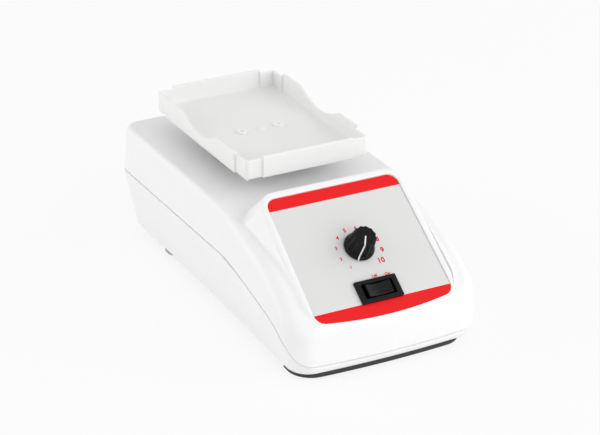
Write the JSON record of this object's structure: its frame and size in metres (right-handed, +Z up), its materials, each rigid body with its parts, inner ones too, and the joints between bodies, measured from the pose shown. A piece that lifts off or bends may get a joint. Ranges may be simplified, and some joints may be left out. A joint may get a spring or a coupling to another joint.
{
  "type": "microplate vortex mixer",
  "caption": "Bench mixer with a sloping control panel that shakes one microplate in a small orbit on a sprung tray with finger scoops.",
  "frame": {"origin": "under the middle of the body, on the surface that its feet stand on", "axes": "+Z up, +Y towards the back with the tray, the control panel faces -Y, +X to the right of someone who faces the panel"},
  "size_m": [0.1396, 0.2662, 0.1077],
  "materials": {
    "housing_plastic": "fine-textured moulded white plastic",
    "tray_plastic": "smooth warm-white moulded plastic",
    "label_sheet": "pale grey printed sheet with red bands",
    "knob_plastic": "satin black moulded plastic",
    "mark_paint": "white filled line",
    "switch_plastic": "glossy black moulded plastic",
    "foot_rubber": "matt dark grey rubber",
    "skirt_rubber": "matt black rubber",
    "dark_plastic": "black moulded plastic",
    "bush_plastic": "natural bearing plastic",
    "ballast_steel": "blackened steel",
    "motor_steel": "coated steel",
    "bright_steel": "plated steel",
    "bare_aluminium": "machined aluminium",
    "brass_contacts": "plain brass",
    "board_laminate": "green circuit board laminate",
    "lead_insulation": "flexible insulation",
    "fuse_glass": "clear glass tube"
  },
  "bodies": {
    "housing": {"upper_housing": "housing_plastic", "lower_housing": "housing_plastic", "front_foot_bar": "foot_rubber", "rear_feet": "foot_rubber", "base_plate": "ballast_steel", "guide_posts": "bright_steel", "post_nuts": "bright_steel", "panel_label": "label_sheet", "speed_pot": "dark_plastic", "pot_nut": "bright_steel", "switch_body": "switch_plastic", "rocker_pin": "bright_steel", "switch_terminals": "brass_contacts", "control_board": "board_laminate", "board_standoffs": "bright_steel", "board_screws": "bright_steel", "heat_sink": "bare_aluminium", "board_parts": "dark_plastic", "touch_switch": "dark_plastic", "switch_bracket": "bright_steel", "mains_inlet": "dark_plastic", "inlet_pins": "brass_contacts", "inlet_screws": "bright_steel", "mains_leads": "lead_insulation", "housing_screws": "bright_steel", "ballast_screws": "bright_steel"},
    "motor_cradle": {"plate_bushes": "bush_plastic", "motor_plate": "bare_aluminium", "motor_can": "motor_steel", "motor_end_bell": "bare_aluminium", "motor_bearings": "bright_steel", "motor_screws": "bright_steel", "cradle_springs": "bright_steel"},
    "rotor": {"motor_shaft": "bright_steel", "armature": "motor_steel", "cooling_fan": "dark_plastic", "eccentric_hub": "bare_aluminium", "hub_set_screw": "bright_steel", "counterweight": "ballast_steel"},
    "tray_head": {"bearing_carrier": "bare_aluminium", "head_bearings": "bright_steel", "retaining_ring": "bright_steel", "drip_skirt": "skirt_rubber", "microplate_tray": "tray_plastic", "tray_screws": "bright_steel", "centre_cap": "tray_plastic"},
    "knob": {"pot_shaft": "bright_steel", "speed_knob": "knob_plastic", "knob_pointer": "mark_paint", "knob_grub_screw": "bright_steel"},
    "rocker": {"rocker_paddle": "switch_plastic"},
    "plunger": {"touch_plunger": "dark_plastic"},
    "fuse_holder": {"fuse_drawer": "dark_plastic", "fuses": "fuse_glass"}
  },
  "joints": [
    {"name": "touch_press", "type": "slide", "parent": "housing", "child": "motor_cradle", "axis": [0, 0, -1], "range_m": [0, 0.0012], "stiffness_N_per_m": 5000, "springref_m": -0.0018, "deforming": ["cradle_springs"]},
    {"name": "motor_spin", "type": "hinge", "parent": "motor_cradle", "child": "rotor", "pos_m": [0, 0.0476, 0.06], "axis": [0, 0, 1], "continuous": true},
    {"name": "tray_orbit", "type": "hinge", "parent": "rotor", "child": "tray_head", "pos_m": [0, 0.0458, 0.085], "axis": [0, 0, 1], "continuous": true},
    {"name": "speed_turn", "type": "hinge", "parent": "housing", "child": "knob", "pos_m": [0, -0.08891, 0.06405], "axis": [0, 0.575, -0.8181], "range_deg": [0, 300]},
    {"name": "rocker_tilt", "type": "hinge", "parent": "housing", "child": "rocker", "pos_m": [0, -0.1132, 0.0433], "axis": [0, 0.8181, 0.575], "range_deg": [-10, 10]},
    {"name": "plunger_slide", "type": "slide", "parent": "housing", "child": "plunger", "axis": [0, 0, -1], "range_m": [0, 0.0012]},
    {"name": "fuse_pull", "type": "slide", "parent": "housing", "child": "fuse_holder", "axis": [0, 1, 0], "range_m": [0, 0.016]}
  ],
  "couplings": [
    {"joint": "tray_orbit", "follows": "motor_spin", "ratio": -1},
    {"joint": "plunger_slide", "follows": "touch_press", "ratio": 1}
  ]
}
